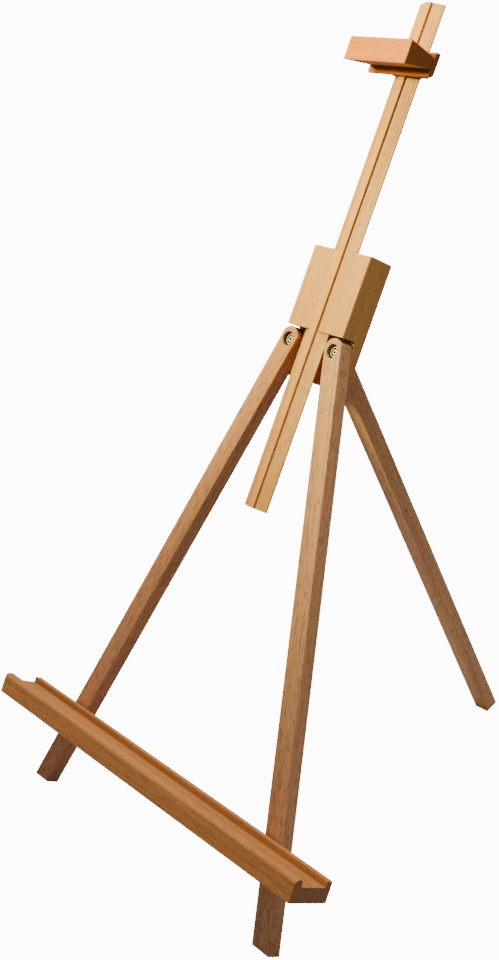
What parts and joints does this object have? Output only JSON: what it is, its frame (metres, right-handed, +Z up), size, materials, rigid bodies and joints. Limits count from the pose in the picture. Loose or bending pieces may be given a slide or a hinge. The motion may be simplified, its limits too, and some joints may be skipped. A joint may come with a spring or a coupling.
{
  "type": "tripod table easel",
  "caption": "Wooden tripod table easel: splayed front legs with a canvas tray, folding rear leg, and a sliding dovetail mast with a canvas clamp.",
  "frame": {"origin": "on the table, under the middle of the easel's overall box", "axes": "+Z up, +X to the right of a person painting at it, -Y towards that person"},
  "size_m": [0.362, 0.3806, 0.5908],
  "materials": {
    "beech": "oiled beech, fine short flecks, satin",
    "dark_beech": "darker, redder oiled beech, satin",
    "steel": "zinc plated steel",
    "brass": "turned brass, satin",
    "black_plastic": "fine moulded texture"
  },
  "bodies": {
    "head": {"head_block": "beech", "mast_lock_insert": "brass", "hinge_head_leaf": "brass", "hinge_head_screw_left": "brass", "hinge_head_screw_right": "brass", "hinge_pin": "steel", "left_pivot_bolt": "steel", "right_pivot_bolt": "steel", "left_pivot_washer": "steel", "right_pivot_washer": "steel", "left_leg_washer": "steel", "right_leg_washer": "steel", "left_leg_insert": "brass", "right_leg_insert": "brass"},
    "left_front_leg": {"left_leg": "beech", "left_tray_peg": "beech"},
    "right_front_leg": {"right_leg": "beech", "right_tray_peg": "beech"},
    "back_leg": {"rear_leg": "beech", "hinge_leg_leaf": "brass", "hinge_leg_screw_left": "brass", "hinge_leg_screw_right": "brass"},
    "sliding_mast": {"mast": "beech"},
    "clamp": {"clamp_block": "dark_beech", "clamp_plate": "dark_beech", "clamp_runner": "dark_beech", "clamp_screw_left": "steel", "clamp_screw_right": "steel"},
    "clamp_lock": {"clamp_knob": "black_plastic"},
    "mast_lock": {"mast_lock_knob": "black_plastic"},
    "tray": {"canvas_tray": "dark_beech"}
  },
  "joints": [
    {"name": "left_leg_swing", "type": "hinge", "parent": "head", "child": "left_front_leg", "pos_m": [-0.0242, -0.0147, 0.35924], "axis": [0, -0.9107, 0.4131], "range_deg": [0, 16.5]},
    {"name": "right_leg_swing", "type": "hinge", "parent": "head", "child": "right_front_leg", "pos_m": [0.0242, -0.0147, 0.35924], "axis": [0, 0.9107, -0.4131], "range_deg": [0, 16.5]},
    {"name": "rear_leg_fold", "type": "hinge", "parent": "head", "child": "back_leg", "pos_m": [0, -0.0006, 0.3435], "axis": [-1, 0, 0], "range_deg": [0, 53]},
    {"name": "mast_slide", "type": "slide", "parent": "head", "child": "sliding_mast", "axis": [0, 0.4352, 0.9003], "range_m": [-0.06, 0.12]},
    {"name": "clamp_slide", "type": "slide", "parent": "sliding_mast", "child": "clamp", "axis": [0, 0.4352, 0.9003], "range_m": [-0.06, 0.03]},
    {"name": "mast_lock_turn", "type": "hinge", "parent": "head", "child": "mast_lock", "pos_m": [0, 0.02228, 0.39152], "axis": [0, 0.9003, -0.4352], "continuous": true},
    {"name": "clamp_lock_turn", "type": "hinge", "parent": "clamp", "child": "clamp_lock", "pos_m": [0, 0.07753, 0.54486], "axis": [0, 0.9003, -0.4352], "continuous": true},
    {"name": "tray_lift", "type": "slide", "parent": "head", "child": "tray", "axis": [0, 0.4131, 0.9107], "range_m": [0, 0.06]}
  ]
}
